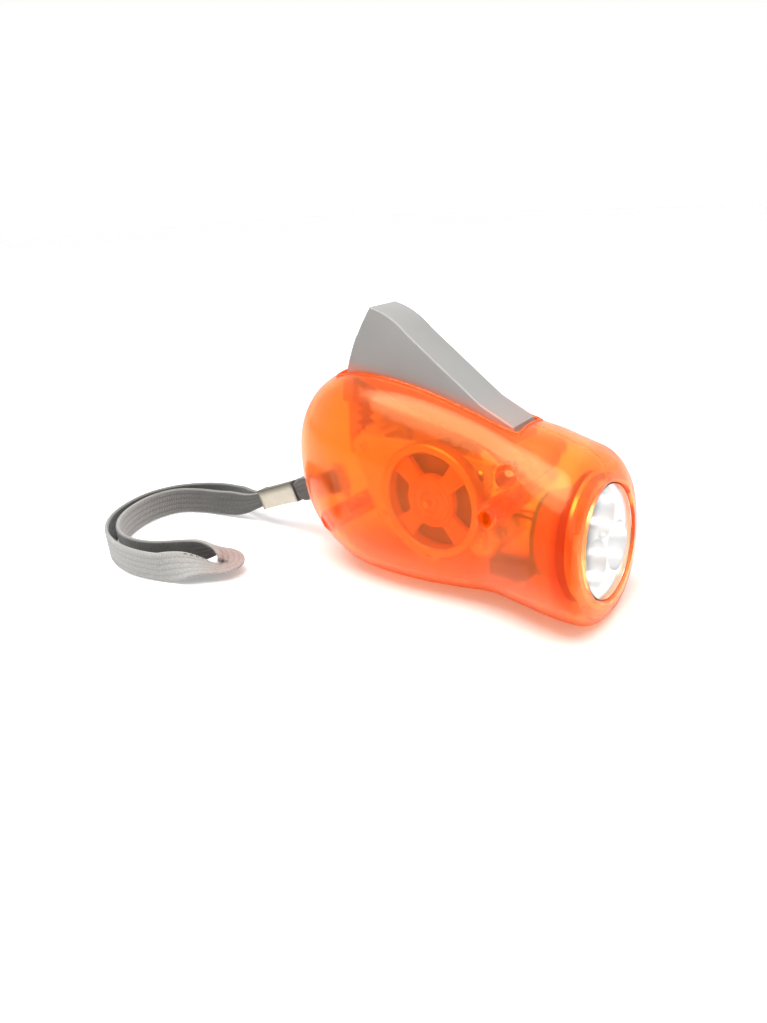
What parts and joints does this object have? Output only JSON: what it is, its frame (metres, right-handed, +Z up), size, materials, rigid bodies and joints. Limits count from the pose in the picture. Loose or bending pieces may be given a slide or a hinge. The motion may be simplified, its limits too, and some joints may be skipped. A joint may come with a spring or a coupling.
{
  "type": "squeeze lever dynamo flashlight",
  "caption": "Pocket flashlight with a clear orange housing, a hand-pressed lever that drives a geared flywheel dynamo, three lamps behind a round lens and a grey wrist strap.",
  "frame": {"origin": "centre of the housing's footprint, on the surface that the belly stands on", "axes": "+X from the rear dome to the lens, +Y from the right shell to the left shell, +Z up through the lever"},
  "size_m": [0.1871, 0.0771, 0.0849],
  "materials": {
    "clear_orange": "clear tinted moulding, glossy",
    "grey_plastic": "warm mid grey moulding, satin",
    "white_plastic": "natural white moulding, satin",
    "dark_plastic": "black moulding, satin",
    "red_plastic": "red lead insulation",
    "clear_lens": "clear, polished",
    "led_clear": "water clear resin",
    "mirror_plate": "bright metallised",
    "steel": "plain bright steel",
    "copper": "lacquered copper wire",
    "board": "green laminate",
    "webbing": "ribbed grey webbing"
  },
  "bodies": {
    "housing": {"right_shell": "clear_orange", "left_shell": "clear_orange", "front_screw": "steel", "rear_screw": "steel", "lever_pin": "steel", "drive_axle": "steel", "second_axle": "steel", "claw_frame_front": "steel", "claw_frame_back": "steel", "coil_bobbin": "white_plastic", "coil_winding": "copper", "gear_plate": "white_plastic", "plate_screw_low": "steel", "plate_screw_front": "steel", "plate_screw_belly": "steel", "front_lens": "clear_lens", "reflector": "mirror_plate", "led_board": "board", "led_1": "led_clear", "led_2": "led_clear", "led_3": "led_clear", "cell_1": "steel", "cell_2": "steel", "cell_3": "steel", "cell_tab_right": "steel", "cell_tab_left": "steel", "switch_body": "dark_plastic", "return_spring": "steel", "coil_lead_1": "dark_plastic", "switch_lead_1": "dark_plastic", "coil_lead_2": "red_plastic", "switch_lead_2": "red_plastic", "strap_post": "steel", "strap_tail": "webbing", "strap_crimp": "steel", "wrist_strap": "webbing"},
    "lever": {"squeeze_lever": "grey_plastic"},
    "drive": {"drive_pinion": "white_plastic", "drive_gear": "white_plastic"},
    "second": {"second_gear": "white_plastic"},
    "rotor": {"flywheel": "white_plastic", "rotor_shaft": "steel", "rotor_pinion": "white_plastic", "rotor_magnet": "dark_plastic"},
    "switch": {"switch_slider": "grey_plastic"}
  },
  "joints": [
    {"name": "lever_pivot", "type": "hinge", "parent": "housing", "child": "lever", "pos_m": [0.02921, 0, 0.0445], "axis": [0, -1, 0], "range_deg": [0, 17], "stiffness_Nm_per_rad": 0.25, "springref_deg": -34.38, "deforming": ["return_spring"]},
    {"name": "drive_spin", "type": "hinge", "parent": "housing", "child": "drive", "pos_m": [-0.02574, 0, 0.0421], "axis": [0, -1, 0], "continuous": true},
    {"name": "second_spin", "type": "hinge", "parent": "housing", "child": "second", "pos_m": [-0.00534, 0, 0.04238], "axis": [0, -1, 0], "continuous": true},
    {"name": "rotor_spin", "type": "hinge", "parent": "housing", "child": "rotor", "pos_m": [0.00251, 0, 0.0314], "axis": [0, -1, 0], "continuous": true},
    {"name": "switch_slide", "type": "slide", "parent": "housing", "child": "switch", "axis": [1, 0, 0], "range_m": [0, 0.004]}
  ],
  "couplings": [
    {"joint": "drive_spin", "follows": "lever_pivot", "ratio": 12},
    {"joint": "second_spin", "follows": "lever_pivot", "ratio": -43.636},
    {"joint": "rotor_spin", "follows": "lever_pivot", "ratio": 174.55}
  ]
}
